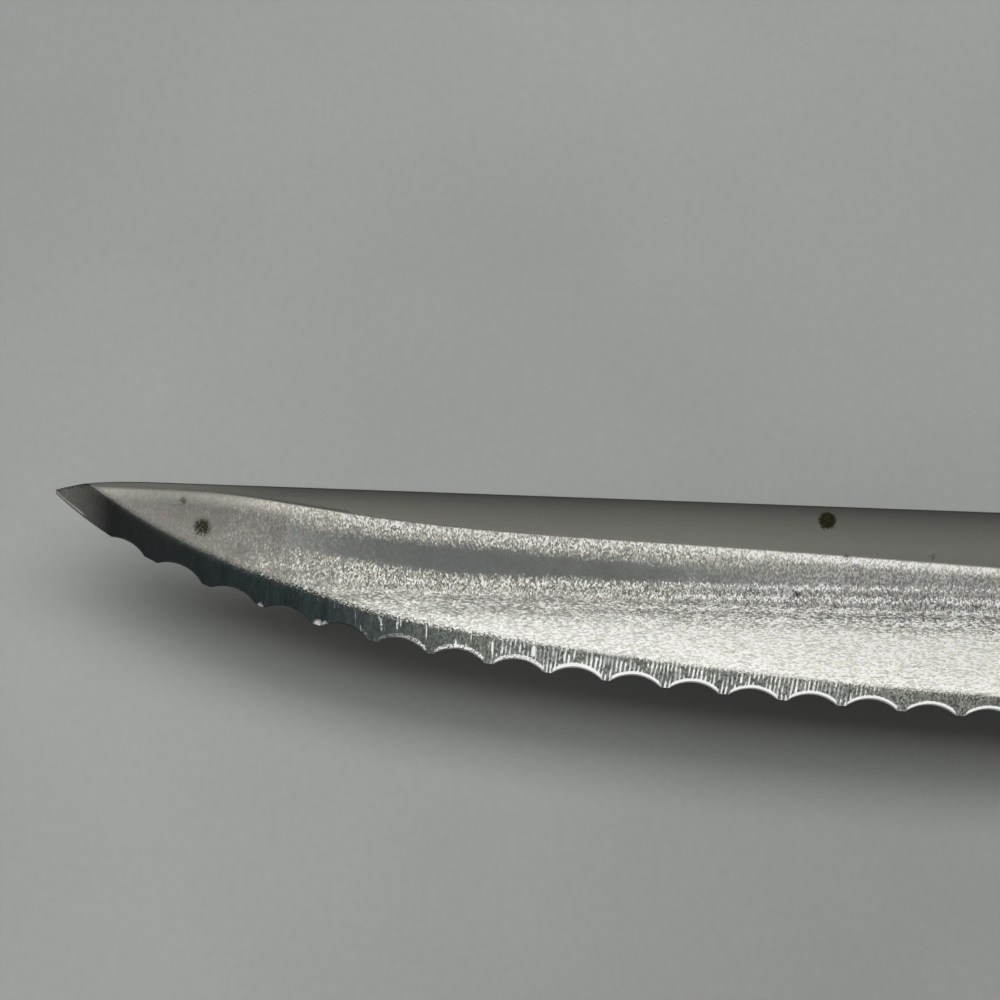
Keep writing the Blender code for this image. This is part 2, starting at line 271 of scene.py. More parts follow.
# Zones of the steel as smooth steps: a measure, the two values between which the step runs from 0
# to 1, and what it gives there if not 0 and 1. Steps listed together are multiplied.
TIP_FACET = ("from_tip", 22, 9)
FRONT_ZONE = ("wavy_tip", 28, 14)
REAR_ZONE = ("wavy_tip", 44, 61)
CRISP_LINE = ("ragged_line", 0.03, 0.20)
SOFT_LINE = ("below_grind", -0.10, 0.36)
TEARING = (("from_tip", 45, 32, 1.2, 2.4), ("from_tip", 8, 24, 0.35, 1))
BEVEL_LINE = ("torn_line", 0.42, -0.05)
BEVEL_LINE_AT_TIP = ("torn_line", 0.50, -0.35)
ACROSS_SPINE = ("on_side", 0.97, 0.85)
# The stripe: a smoother band across the hollow whose darker tone is painted shade
STRIPE = (
    ("stripe_top", 3.80, 4.60),
    ("stripe_bottom", 7.15, 6.70),
    ("wavy_tip", 15, 25),
    ("wavy_tip", 66, 50),
)
# Painted highlight: a bright band just under the grind line, growing toward the heel
PAINTED_UNDER_LINE_HIGHLIGHT = (("below_grind", 1.10, 0.25), ("from_tip", 30, 78, 0.7, 1))
FRONT_BAND = ("below_grind", 1.5, 0.4)
LYING_ZONE = ("wavy_depth", 7.9, 8.9)
BEVEL_STREAKED = ("from_tip", 5, 22, 0.1, 0.7)
BEVEL_SPECKLED = ("from_tip", 22, 42, 0.2, 0.95)
CUT_MARKS = (
    ("cut_wave", 1.1, 1.7),
    ("wavy_tip", 36, 43),
    ("wavy_tip", 71, 64),
    ("patches", 0.36, 0.54, 0.35, 1),
    ("breaks", 0.36, 0.52),
)
TICK_MARKS = (("cuts", 0.66, 0.74), ("wavy_tip", 25, 32), ("from_tip", 45, 40))
# Where the scallops' rims are painted lit, white, rather than dark
LIT_RIMS = ("drifting_tip", 24.5, 35)
WHOLE_RIMS = ("from_tip", 36, 46)
BROKEN_RIMS = ("fine", 0.42, 0.54)
# Width and ragged edge of the painted highlight strip above the rims
RIM_GROWTH = ("from_tip", 52, 44, 0.04, 0.12)
RIM_EDGE = ("frayed", 0.22, 0.13)
PIT_SHARE = ("ragged_pits", 0.10, 0.65)
LEFT_SIDE = ("side", -0.5, 0.5)

# Marks and painted light laid over the steel: a tone and the steps of its zone
FLAT_LINES = (
    # Painted highlight: a light line along the grind line
    ((0.42, 0.41, 0.36), ("below_grind", -0.03, 0.04)),
    ((0.165, 0.163, 0.145), TIP_FACET),
    # Painted shade: a dark line along the spine edge, where its rounding reflects no light
    ((0.035, 0.035, 0.03), ("from_spine", 0.15, 0.03)),
)
ROW_MARKS = (
    (0.92, 0.91, 0.85),
    ("ridge", 1.4, 2.3),
    ("wavy_depth", 6.4, 6.9),
    ("wavy_depth", 10.4, 9.8),
    ("ticked", 0.2, 0.7, 0.4, 1),
    ("wavy_tip", 44, 61, 0.5, 1),
)
SCORES = ((0.2, 0.2, 0.185), ("scratches", 0.42, 0.34, 0, 0.5), ("depth", 7.8, 8.6))
SCUFFS = (
    (0.04, 0.047, 0.044),
    ("from_bevel", 0.32, 0.10, 0, 0.8),
    ("fine", 0.5, 0.58),
    ("from_tip", 66, 56),
)
# Painted highlight: a light line just above the rim at the tip
TIP_EDGE_PAINTED_HIGHLIGHT = (
    (0.9, 0.9, 0.86),
    ("above_rim", 0.08, 0.16),
    ("above_rim", 0.34, 0.24),
    ("from_tip", 2.8, 2.2),
)

# Tones of the steel, by millimetres from the spine, below it or from the tip
FLAT_SPAN = 8.0
DEPTH_SPAN = 16.0
LENGTH_SPAN = 80.0
# The flat: part satin finish, part painted reflection, darker at the spine and lighter toward the grind
# line
FLAT_TONES = (
    (0.0, (0.067, 0.067, 0.060)),
    (0.25, (0.090, 0.090, 0.080)),
    (0.75, (0.130, 0.130, 0.116)),
    (1.25, (0.173, 0.173, 0.154)),
    (2.0, (0.222, 0.222, 0.197)),
    (3.5, (0.313, 0.313, 0.277)),
)
# The flat is also made darker toward the heel
FLAT_DARKER_TO_HEEL = ((22.0, 0.0), (38.0, 0.12), (56.0, 0.13), (70.0, 0.22))
# The hollow's tones by depth, in the middle and toward the heel; their near-white next to the bevel
# line is partly a painted highlight
MIDDLE_TONES = (
    (4.5, (0.57, 0.554, 0.498)),
    (7.0, (0.50, 0.485, 0.428)),
    (9.6, (0.465, 0.459, 0.42)),
    (10.8, (0.87, 0.87, 0.805)),
)
REAR_TONES = (
    (4.2, (0.55, 0.534, 0.473)),
    (5.2, (0.40, 0.398, 0.362)),
    (6.2, (0.345, 0.345, 0.32)),
    (7.2, (0.365, 0.365, 0.34)),
    (9.6, (0.46, 0.455, 0.42)),
    (10.6, (0.91, 0.898, 0.815)),
)
MIDDLE_FLECKS = ((4.5, 0.85), (7.0, 1.0), (8.4, 0.90), (10.8, 0.40))
REAR_FLECKS = ((4.5, 0.6), (7.0, 0.6), (7.6, 1.0), (9.6, 0.9), (10.8, 0.42))
FRONT_FLECKS = 0.13
STRIPE_FLECKS = 0.08
# The bevel: partly painted reflection, very dark near the tip and lighter toward the heel
BEVEL_TONES = (
    (1.2, (0.43, 0.43, 0.385)),
    (4.8, (0.055, 0.063, 0.060)),
    (18.0, (0.050, 0.067, 0.068)),
    (24.0, (0.060, 0.076, 0.078)),
    (29.0, (0.088, 0.104, 0.098)),
    (36.0, (0.165, 0.179, 0.155)),
    (43.0, (0.19, 0.203, 0.18)),
    (62.0, (0.178, 0.19, 0.169)),
    (72.0, (0.185, 0.192, 0.172)),
)

# Other tones of the steel; a mottle is its share, its darkest and its lightest grey
FLAT_MOTTLE = (0.15, 0.4, 0.6)
HOLLOW_MOTTLE = (0.3, 0.38, 0.62)
BEVEL_STREAKS = (0.3, 0.7)
BEVEL_SPECKLES = (0.12, 0.88, 0.0, 1.0)
TINTED = 0.06
FLAT_HEEL_DARK_TONE = (0.03, 0.03, 0.027)
SPINE_TONES = ((0.3, 0.34), (0.7, 0.46))
PAINTED_UNDER_LINE_HIGHLIGHT_TONES = ((0.80, 0.78, 0.704), (1.0, 0.98, 0.90))
# Tones of the painted highlight under the grind line, in the middle and toward the heel
FRONT_BAND_TONES = ((0.73, 0.70, 0.62), (0.385, 0.372, 0.333))
FRONT_TONE = (0.255, 0.246, 0.222)
# Painted shade of the stripe in the hollow
STRIPE_PAINTED_SHADE = (0.294, 0.311, 0.293)
CUT_TONE = (0.98, 0.99, 0.95)
# Painted shade of the rims near the tip, and the white of painted highlights on rims and nicks
RIM_PAINTED_SHADE = (0.025, 0.027, 0.027)
PAINTED_GLINT_WHITE = (1.0, 1.0, 0.98)
RUST_TONES = ((0.35, (0.004, 0.004, 0.002)), (0.65, (0.030, 0.027, 0.010)))

# Sheen of the steel; a relief is its depth in millimetres and its strength
FLAT_ROUGHNESS = 0.24
HOLLOW_ROUGHNESS = 0.46
STRIPE_ROUGHNESS = 0.30
FRONT_ROUGHNESS = 0.38
BEVEL_ROUGHNESS = 0.26
RIM_ROUGHNESS = 0.40
RUST_ROUGHNESS = 0.8
RUST_POWER = 3.0
STEEL_SPECULAR = 0.5
RUST_SPECULAR = 0.05
STEEL_RELIEF = (0.02, 0.4)

# Wood, brass and floor
WOOD_TONES = (
    (0.30, (0.040, 0.016, 0.008)),
    (0.48, (0.105, 0.045, 0.021)),
    (0.60, (0.150, 0.068, 0.032)),
    (0.75, (0.085, 0.036, 0.017)),
)
WOOD_MOTTLE = (0.55, 0.22, 0.72)
RUBBED_SHARE = (0.5, 0.72, 0.0, 0.35)
RUBBED_TONE = (0.24, 0.125, 0.065)
PORE_SHARE = (0.36, 0.28)
PORE_TONE = (0.016, 0.007, 0.004)
PORE_ROUGHNESS = 0.85
WOOD_ROUGHNESS = (0.3, 0.7, 0.34, 0.52)
FIBRE_HEIGHT = 0.5
WOOD_RELIEF = (0.06, 0.6)
BRASS_TONES = ((0.35, (0.46, 0.32, 0.13)), (0.52, (0.74, 0.55, 0.25)), (0.70, (0.84, 0.66, 0.34)))
SCRATCHED_SHARE = (0.64, 0.74, 0.0, 0.5)
SCRATCHED_TONE = (0.92, 0.77, 0.46)
BRASS_ROUGHNESS = (0.3, 0.7, 0.48, 0.24)
LATHE_RINGS_PER_MM = 9.0
SCRATCH_HEIGHT = 0.4
BRASS_RELIEF = (0.02, 0.5)
FLOOR_TONES = ((0.3, (0.316, 0.329, 0.316)), (0.7, (0.346, 0.358, 0.344)))
FLOOR_MOTTLE = (0.12, 0.4, 0.6)
# Painted light and shade on the floor: lighter at the near left, darker at the near right, even further
# away
FLOOR_PAINTED_SHADING_ACROSS = (-117, -52, 1.12, 0.91)
FLOOR_PAINTED_SHADING_AWAY = (-4, 45)
FLOOR_PAINTED_SHADING_FAR = 0.975
FLOOR_ROUGHNESS = 0.95
FLOOR_SPECULAR = 0.1

HALF_STEEL = BLADE_THICKNESS / 2
HALF_HANDLE = HALF_STEEL + BOND_GAP + SCALE_THICKNESS
PLUNGE_END = -RICASSO_LENGTH
PLUNGE_START = PLUNGE_END - PLUNGE_LENGTH
FLARE = tan(radians(SCALLOP_RIM_ANGLE))
BEVEL_SLOPE = tan(radians(BEVEL_ANGLE))


def curve_through(*knots):
    """Points of a smooth line; a knot is x, y, heading in degrees, and its pull before and after."""
    points = []
    for near, far in zip(knots, knots[1:]):
        start = Vector(near[:2])
        end = Vector(far[:2])
        reach = (end - start).length
        leaving, arriving = (radians(knot[2]) for knot in (near, far))
        out_handle = start + Vector((cos(leaving), sin(leaving))) * reach * near[4]
        in_handle = end - Vector((cos(arriving), sin(arriving))) * reach * far[3]
        points += interpolate_bezier(start, out_handle, in_handle, end, LINE_STEPS)
    return np.array([tuple(point) for point in points])


def depth_at(line, x):
    return np.interp(x, line[:, 0], line[:, 1])


EDGE_LINE = curve_through(
    (-BLADE_LENGTH, -TIP_DROP - TIP_BLUNT, -TIP_ANGLE, 0.0, 0.38),
    (BELLY_FROM_TIP - BLADE_LENGTH, -BELLY_DEPTH, -BELLY_ANGLE, 0.24, 0.20),
    (PLUNGE_END, -HEEL_DEPTH, 0.0, 0.18, 0.0),
)
GRIND_LINE = curve_through(
    (GRIND_START_FROM_TIP - BLADE_LENGTH, -GRIND_START_DEPTH, 0.0, 0.0, 0.28),
    (GRIND_MIDDLE_FROM_TIP - BLADE_LENGTH, -GRIND_MIDDLE_DEPTH, -GRIND_ANGLE, 0.66, 0.33),
    (PLUNGE_START, -GRIND_END_DEPTH, -GRIND_ANGLE, 0.33, 0.45),
    (PLUNGE_END, -HEEL_DEPTH, -90.0, 0.55, 0.0),
)
HANDLE_TOP = curve_through(
    (0.0, 0.0, FRONT_TOP_ANGLE, 0.0, 0.35),
    (CREST_FROM_FRONT, CREST_HEIGHT, 0.0, 0.4, 0.4),
    (HANDLE_LENGTH - SHOULDER_FROM_BUTT, -SHOULDER_DEPTH, -SHOULDER_ANGLE, 0.4, 0.6),
    (HANDLE_LENGTH, -BUTT_TOP_DEPTH, -90.0, 0.25, 0.0),
)
HANDLE_BOTTOM = curve_through(
    (0.0, -HEEL_DEPTH, -FRONT_BOTTOM_ANGLE, 0.0, 0.35),
    (PALM_FROM_FRONT, -PALM_DEPTH, 0.0, 0.4, 0.4),
    (HANDLE_LENGTH - WAIST_FROM_BUTT, -WAIST_DEPTH, 0.0, 0.4, 0.4),
    (HANDLE_LENGTH - HOOK_FROM_BUTT, -HOOK_DEPTH, 0.0, 0.4, 0.5),
    (HANDLE_LENGTH, -BUTT_BOTTOM_DEPTH, 90.0, 0.4, 0.0),
)
EDGE_LENGTHS = np.concatenate(([0.0], np.cumsum(np.hypot(*np.diff(EDGE_LINE, axis=0).T))))


def edge_point(along):
    """Point of the edge line at a distance along it from the tip."""
    x = np.interp(along, EDGE_LENGTHS, EDGE_LINE[:, 0])
    return x, np.interp(along, EDGE_LENGTHS, EDGE_LINE[:, 1])


def edge_slope(along):
    """Angle by which the edge falls toward the heel, at a distance along it."""
    near = edge_point(along - SLOPE_STEP / 2)
    far = edge_point(along + SLOPE_STEP / 2)
    return np.arctan2(near[1] - far[1], far[0] - near[0])


def bottom_at(x):
    return np.where(x < 0, depth_at(EDGE_LINE, x), depth_at(HANDLE_BOTTOM, x))


def top_at(x):
    """The spine, straight but for its drop to the tip, and the top of the tang behind it."""
    drop = np.clip(1 - (x + BLADE_LENGTH) / TIP_DROP_LENGTH, 0, 1) ** TIP_DROP_POWER
    return np.where(x < 0, -TIP_DROP * drop, depth_at(HANDLE_TOP, x))


def steel_thickness(x):
    thinning = np.clip(1 - (x + BLADE_LENGTH) / TAPER_LENGTH, 0, 1) ** TAPER_POWER
    return BLADE_THICKNESS - (BLADE_THICKNESS - TIP_THICKNESS) * thinning


def edge_thickness(x):
    """Thin along the edge, growing to the full steel where the grinds run out."""
    along = np.clip((x - PLUNGE_START) / PLUNGE_LENGTH, 0, 1)
    return EDGE_THICKNESS + (steel_thickness(x) - EDGE_THICKNESS) * along ** PLUNGE_POWER


def hollow_dip(above_bevel, hollow):
    """Depth of the left hollow, a wheel's arc that is deepest a little way above the bevel."""
    low = HOLLOW_LOW_SHARE * hollow
    return np.maximum(0, (hollow - low) ** 2 - (above_bevel - low) ** 2) / (2 * HOLLOW_WHEEL_RADIUS)


def back_dip(above_edge, ground):
    return np.maximum(0, ground ** 2 - above_edge ** 2) / (2 * BACK_WHEEL_RADIUS)


def grinds(x):
    """Slant of the edge, width of the ground face and width of the bevel, in the sections at x."""
    bottom = bottom_at(x)
    slant = np.cos(np.arctan2(depth_at(EDGE_LINE, x) - depth_at(EDGE_LINE, x + SLOPE_STEP), SLOPE_STEP))
    ground = np.where(x < PLUNGE_END, (depth_at(GRIND_LINE, x) - bottom) * slant, 0.0)
    ground = np.clip(ground, 0, (top_at(x) - bottom) * slant)
    spare = steel_thickness(x) - edge_thickness(x)
    bevel = np.zeros_like(ground)
    for _ in range(BEVEL_ROUNDS):
        taken = hollow_dip(0.0, ground - bevel) + back_dip(bevel, ground)
        bevel = np.clip((spare - taken) / BEVEL_SLOPE, 0, ground)
    return slant, ground, bevel


def back_level(x, y):
    slant, ground, _ = grinds(x)
    return back_dip(np.maximum(0, y - bottom_at(x)) * slant, ground) - steel_thickness(x) / 2


def front_level(x, y):
    slant, ground, bevel = grinds(x)
    above_edge = np.maximum(0, y - bottom_at(x)) * slant
    thickness = steel_thickness(x)
    bevel_plane = back_dip(0.0, ground) - thickness / 2 + edge_thickness(x) + above_edge * BEVEL_SLOPE
    return np.minimum(thickness / 2 - hollow_dip(above_edge - bevel, ground - bevel), bevel_plane)


class Scallops:
    """The row of scallops: places along the edge, depths, centres and the level of the edge there."""

    def __init__(self):
        last = EDGE_LENGTHS[-1] - PLUNGE_LENGTH - SCALLOP_PITCH / 2
        count = 1 + int((last - FIRST_SCALLOP_FROM_TIP) / SCALLOP_PITCH)
        scatter = np.random.default_rng(SEED).uniform(-1, 1, (2, count)) * SCALLOP_SCATTER
        self.along = FIRST_SCALLOP_FROM_TIP + SCALLOP_PITCH * np.arange(count)
        self.along = self.along + SCALLOP_DEPTH * scatter[0]
        self.depth = SCALLOP_DEPTH * (1 + scatter[1])
        self.depth[0] = FIRST_SCALLOP_DEPTH
        self.half_chord = np.sqrt(2 * SCALLOP_RADIUS * self.depth - self.depth ** 2)
        x, y = edge_point(self.along)
        slope = edge_slope(self.along)
        self.centre_x = x - np.sin(slope) * (SCALLOP_RADIUS - self.depth)
        self.centre_y = y - np.cos(slope) * (SCALLOP_RADIUS - self.depth)
        self.level = front_level(x, y)

    def inside(self, x, y, z):
        """How far points lie inside the nearest scallop's cone; negative outside all of them."""
        deepest = np.full(x.shape, -1.0)
        for centre_x, centre_y, level in zip(self.centre_x, self.centre_y, self.level):
            radius = SCALLOP_RADIUS + (z - level) * FLARE
            deepest = np.maximum(deepest, radius - np.hypot(x - centre_x, y - centre_y))
        return deepest

    def columns(self):
        """Distances along the edge at which the blade is sectioned, closest at each tooth."""
        turns = np.linspace(-np.pi / 2, np.pi / 2, SCALLOP_COLUMNS)
        start = self.along[0] - self.half_chord[0]
        end = self.along[-1] + self.half_chord[-1]
        tip = start * np.linspace(0, 1, TIP_COLUMNS, endpoint=False) ** TIP_COLUMN_POWER
        heel = np.linspace(end, EDGE_LENGTHS[-1], HEEL_COLUMNS)[1:]
        teeth = [along + half * np.sin(turns) for along, half in zip(self.along, self.half_chord)]
        lands = (self.along[1:] - self.half_chord[1:] + self.along[:-1] + self.half_chord[:-1]) / 2
        return np.sort(np.concatenate([tip, *teeth, lands, heel]))


def first_rise(gap, reach):
    """Reach at which each column of gap first turns positive, read between two samples."""
    after = np.argmax(gap > 0, axis=0)
    before = np.maximum(after - 1, 0)
    columns = np.arange(gap.shape[1])
    low = gap[before, columns]
    high = gap[after, columns]
    share = np.where(after > 0, -low / np.maximum(high - low, TINY), 0.0)
    return reach[before] + (reach[after] - reach[before]) * share


def shares(start, end, steps):
    """Evenly spaced values from start up to, but not at, end."""
    return [start + (end - start) * step / steps for step in range(steps)]


def handle_stations():
    turns = np.linspace(0, np.pi, HANDLE_COLUMNS + 1)
    return HANDLE_LENGTH * (1 - np.cos(turns)) / 2


class BladeGrid:
    """Rings of the blade and tang, on columns that rise from the edge at right angles to it."""

    def __init__(self):
        self.scallops = Scallops()
        along = self.scallops.columns()
        x, y = edge_point(along)
        upright = np.clip(along / (FIRST_SCALLOP_FROM_TIP - SCALLOP_RADIUS), 0, 1)
        lean = edge_slope(along) * upright ** 2 * (3 - 2 * upright)
        ricasso = np.linspace(PLUNGE_END, 0, RICASSO_COLUMNS, endpoint=False)[1:]
        rear = np.concatenate((ricasso, handle_stations()))
        self.foot_x = np.concatenate((x, rear))
        self.foot_y = np.concatenate((y, bottom_at(rear)))
        self.lean = np.concatenate((lean, np.zeros_like(rear)))
        self.find_lines()
        self.rows = []
        self.add_rows()

    def at(self, reach):
        """Points at a reach up each column."""
        return self.foot_x + np.sin(self.lean) * reach, self.foot_y + np.cos(self.lean) * reach

    def find_lines(self):
        """Reaches of the spine, the grind line, the bevel line, the scallops' rims and the edge."""
        reach = np.linspace(0, LONGEST_REACH, REACH_STEPS)
        x, y = self.at(reach[:, None])
        slant, ground, bevel = grinds(x)
        bottom = bottom_at(x)
        self.top = first_rise(y - top_at(x), reach)
        grind = first_rise(y - bottom - ground / slant, reach)
        line = first_rise(y - bottom - bevel / slant, reach)
        reach = np.linspace(0, DEEPEST_CUT, CUT_STEPS)
        x, y = self.at(reach[:, None])
        rim = first_rise(-self.scallops.inside(x, y, front_level(x, y)), reach)
        cut = first_rise(-self.scallops.inside(x, y, back_level(x, y)), reach)
        steel = front_level(*self.at(self.top)) - back_level(*self.at(self.top))
        easing = SPINE_ROUND * np.clip(-self.foot_x / SLOPE_STEP, 0, 1)
        self.round = np.minimum(easing, np.minimum(steel, self.top) / 3)
        self.shoulder = self.top - self.round
        self.grind = np.minimum(grind, self.shoulder)
        self.bevel = np.minimum(line, self.grind)
        self.notch = np.clip(cut / RIM_RISE, 0, 1)
        self.rim = np.minimum(np.maximum(rim, cut + RIM_WIDTH * self.notch), self.bevel)
        self.cut = np.minimum(cut, self.rim)

    def add(self, reach, level, side, rim=0.0):
        self.rows.append((reach, level, side, rim))

    def add_round(self, turns, level, side):
        for turn in turns:
            sink = side * self.round * (1 - cos(turn))
            self.add(self.shoulder + self.round * sin(turn), level - sink, side)

    def add_rows(self):
        front = front_level(*self.at(self.shoulder))
        back = back_level(*self.at(self.shoulder))
        turns = [pi / 2 * step / ROUND_ROWS for step in range(ROUND_ROWS, 0, -1)]
        self.add_round(turns, front, 1.0)
        below_round = np.maximum(self.shoulder - LIP_WIDTH, self.grind)
        faces = [self.shoulder] + shares(below_round, self.grind, FLAT_ROWS)
        faces += shares(self.grind, self.bevel, HOLLOW_ROWS)
        lip = np.minimum(self.rim + LIP_WIDTH, self.bevel)
        faces += shares(self.bevel, lip, BEVEL_ROWS) + [lip, self.rim]
        for reach in faces:
            self.add(reach, front_level(*self.at(reach)), 1.0)
        start = front_level(*self.at(self.rim))
        end = back_level(*self.at(self.cut))
        for step in range(WALL_ROWS + 1):
            share = step / WALL_ROWS
            self.add(self.rim + (self.cut - self.rim) * share, start + (end - start) * share, 1.0, 1.0)
        faces = shares(self.cut, self.grind, HOLLOW_ROWS) + shares(self.grind, self.shoulder, FLAT_ROWS)
        for reach in faces + [self.shoulder]:
            self.add(reach, back_level(*self.at(reach)), -1.0)
        self.add_round(turns[::-1], back, -1.0)

    def points(self):
        found = [np.stack((*self.at(reach), level), axis=1) for reach, level, _, _ in self.rows]
        return np.concatenate(found) + np.array(ORIGIN)

    def facts(self):
        """What the material reads at each point, in millimetres but for the three marks."""
        reach = np.stack([row[0] for row in self.rows])
        return {
            "from_spine": (self.top - reach) * MM,
            "below_grind": (self.grind - reach) * MM,
            "above_bevel": (reach - self.bevel) * MM,
            "above_rim": (reach - self.rim) * MM,
            "from_tip": (self.at(reach)[0] + BLADE_LENGTH) * MM,
            "notch": np.broadcast_to(self.notch, reach.shape),
            "side": np.stack([np.full(self.foot_x.shape, row[2]) for row in self.rows]),
            "rim": np.stack([np.full(self.foot_x.shape, row[3]) for row in self.rows]),
        }

    def faces(self):
        count = len(self.foot_x)
        total = len(self.rows)
        found = []
        for row in range(total):
            near = row * count
            far = (row + 1) % total * count
            found += [(near + i, near + i + 1, far + i + 1, far + i) for i in range(count - 1)]
        found.append(tuple(range(0, total * count, count)))
        found.append(tuple(range(count - 1, total * count, count)))
        return found


def placed(name, data):
    """Object in the scene for a mesh, a camera or a light."""
    thing = bpy.data.objects.new(name, data)
    bpy.context.scene.collection.objects.link(thing)
    return thing


def new_piece(name, points, faces, facts, crease, keep_round=None):
    """Piece with facts at its points, welded, turned outward and creased above an angle."""
    mesh = bpy.data.meshes.new(name)
    mesh.from_pydata(points, [], faces)
    for fact, values in facts.items():
        layer = mesh.attributes.new(fact, "FLOAT", "POINT")
        layer.data.foreach_set("value", np.ravel(values).astype(np.float32))
    shape = bmesh.new()
    shape.from_mesh(mesh)
    bmesh.ops.remove_doubles(shape, verts=shape.verts, dist=MERGE_DISTANCE)
    bmesh.ops.dissolve_degenerate(shape, edges=shape.edges, dist=DEGENERATE_DISTANCE)
    bmesh.ops.recalc_face_normals(shape, faces=shape.faces)
    limit = radians(crease)
    for face in shape.faces:
        face.smooth = True
    for edge in shape.edges:
        rounded = keep_round is not None and all(keep_round(shape, vert) for vert in edge.verts)
        edge.smooth = rounded or edge.calc_face_angle(0.0) < limit
    shape.to_mesh(mesh)
    shape.free()
    return placed(name, mesh)


def on_spine_round(shape, vert):
    layer = shape.verts.layers.float["from_spine"]
    return vert[layer] < SPINE_ROUND * MM * SPINE_ROUND_MARGIN and vert.co.x < ORIGIN.x


def turned(name, profile, place):
    """Piece turned about Z from a profile of radius and height that starts and ends on the axis."""
    points = [(0.0, 0.0, profile[0][1]), (0.0, 0.0, profile[-1][1])]
    faces = []
    turns = [tau * step / RIVET_STEPS for step in range(RIVET_STEPS)]
    rings = profile[1:-1]
    for radius, height in rings:
        points += [(radius * cos(turn), radius * sin(turn), height) for turn in turns]
    for i in range(RIVET_STEPS):
        j = (i + 1) % RIVET_STEPS
        last = 2 + (len(rings) - 1) * RIVET_STEPS
        faces.append((0, 2 + i, 2 + j))
        faces.append((1, last + j, last + i))
        for ring in range(len(rings) - 1):
            near = 2 + ring * RIVET_STEPS
            far = near + RIVET_STEPS
            faces.append((near + i, far + i, far + j, near + j))
    facts = {"from_axis": [hypot(x, y) * MM for x, y, _ in points]}
    piece = new_piece(name, points, faces, facts, RIVET_CREASE_ANGLE)
    piece.data.transform(Matrix.Translation(place))
    return piece


def head_profile(radius):
    """Crowned head with a softly rounded rim, from the axis to the foot of its wall."""
    profile = [(0.0, HALF_HANDLE + HEAD_CROWN)]
    flat = radius - HEAD_ROUND
    for step in range(1, HEAD_STEPS + 1):
        share = step / HEAD_STEPS
        profile.append((flat * share, HALF_HANDLE + HEAD_CROWN * (1 - share ** 2)))
    for step in range(1, HEAD_ROUND_STEPS + 1):
        turn = pi / 2 * step / HEAD_ROUND_STEPS
        sink = HEAD_ROUND * (1 - cos(turn))
        profile.append((flat + HEAD_ROUND * sin(turn), HALF_HANDLE - sink))
    profile.append((radius, HALF_HANDLE - HEAD_THICKNESS))
    return profile


def rivet_profiles(radius):
    """Profiles of a rivet's socket, of its pin, and of the hole that both sit in."""
    floor = HALF_HANDLE - HEAD_THICKNESS
    end = floor - END_GAP
    bore = PIN_RADIUS + FIT_CLEARANCE
    tube = bore + TUBE_WALL
    head = head_profile(radius)
    socket = head + [(tube, floor), (tube, -end), (bore, -end), (bore, floor), (0.0, floor)]
    pin = [(0.0, end), (PIN_RADIUS - PIN_CHAMFER, end), (PIN_RADIUS, end - PIN_CHAMFER)]
    pin += [(PIN_RADIUS, -floor)] + [(across, -height) for across, height in reversed(head)]
    outside = HALF_HANDLE + CUTTER_MARGIN
    step = floor - FIT_CLEARANCE
    wide = radius + FIT_CLEARANCE
    narrow = PIN_RADIUS + TUBE_WALL + 2 * FIT_CLEARANCE
    hole = [(0.0, outside), (wide, outside), (wide, step), (narrow, step)]
    hole += [(across, -height) for across, height in reversed(hole)]
    return socket, pin, hole


def drill(piece, cutters):
    """Cuts the rivets' holes out of a piece and leaves it a plain mesh."""
    for cutter in cutters:
        boolean = piece.modifiers.new(cutter.name, "BOOLEAN")
        boolean.operation = "DIFFERENCE"
        boolean.object = cutter
        boolean.solver = "EXACT"
    seen = piece.evaluated_get(bpy.context.evaluated_depsgraph_get())
    drilled = bpy.data.meshes.new_from_object(seen)
    piece.modifiers.clear()
    piece.data = drilled
    drilled.name = piece.name
    shape = bmesh.new()
    shape.from_mesh(drilled)
    limit = radians(SHARP_ANGLE)
    for edge in shape.edges:
        edge.smooth = edge.smooth and edge.calc_face_angle(0.0) < limit
    shape.to_mesh(drilled)
    shape.free()


def blade():
    grid = BladeGrid()
    points = grid.points().tolist()
    return new_piece("blade_look", points, grid.faces(), grid.facts(), CREASE_ANGLE, on_spine_round)


def scale_ring(x, side):
    """Ring of a scale: flat against the tang, with a rounded rim round a flat outer face."""
    top = float(depth_at(HANDLE_TOP, x))
    bottom = float(depth_at(HANDLE_BOTTOM, x))
    round_radius = SCALE_THICKNESS - SCALE_WALL
    from_end = max(0.0, min(x, HANDLE_LENGTH - x, round_radius))
    rim = sqrt(max(0.0, round_radius ** 2 - (round_radius - from_end) ** 2))
    bond = HALF_STEEL + BOND_GAP
    wall = bond + SCALE_WALL
    turns = [pi / 2 * step / RIM_STEPS for step in range(RIM_STEPS + 1)]
    arc = [(rim * (1 - cos(turn)), wall + rim * sin(turn)) for turn in turns]
    ring = [(top, bond)] + [(top - inset, z) for inset, z in arc]
    ring += [(bottom + inset, z) for inset, z in reversed(arc)] + [(bottom, bond)]
    return [ORIGIN + Vector((x, y, side * z)) for y, z in ring]


def scale(name, side):
    rings = [scale_ring(x, side) for x in handle_stations()]
    count = len(rings[0])
    points = [point for ring in rings for point in ring]
    faces = [tuple(range(count)), tuple(range(len(points) - count, len(points)))]
    for station in range(len(rings) - 1):
        near = station * count
        far = near + count
        for i in range(count):
            j = (i + 1) % count
            faces.append((near + i, near + j, far + j, far + i))
    return new_piece(name, points, faces, {}, SHARP_ANGLE)


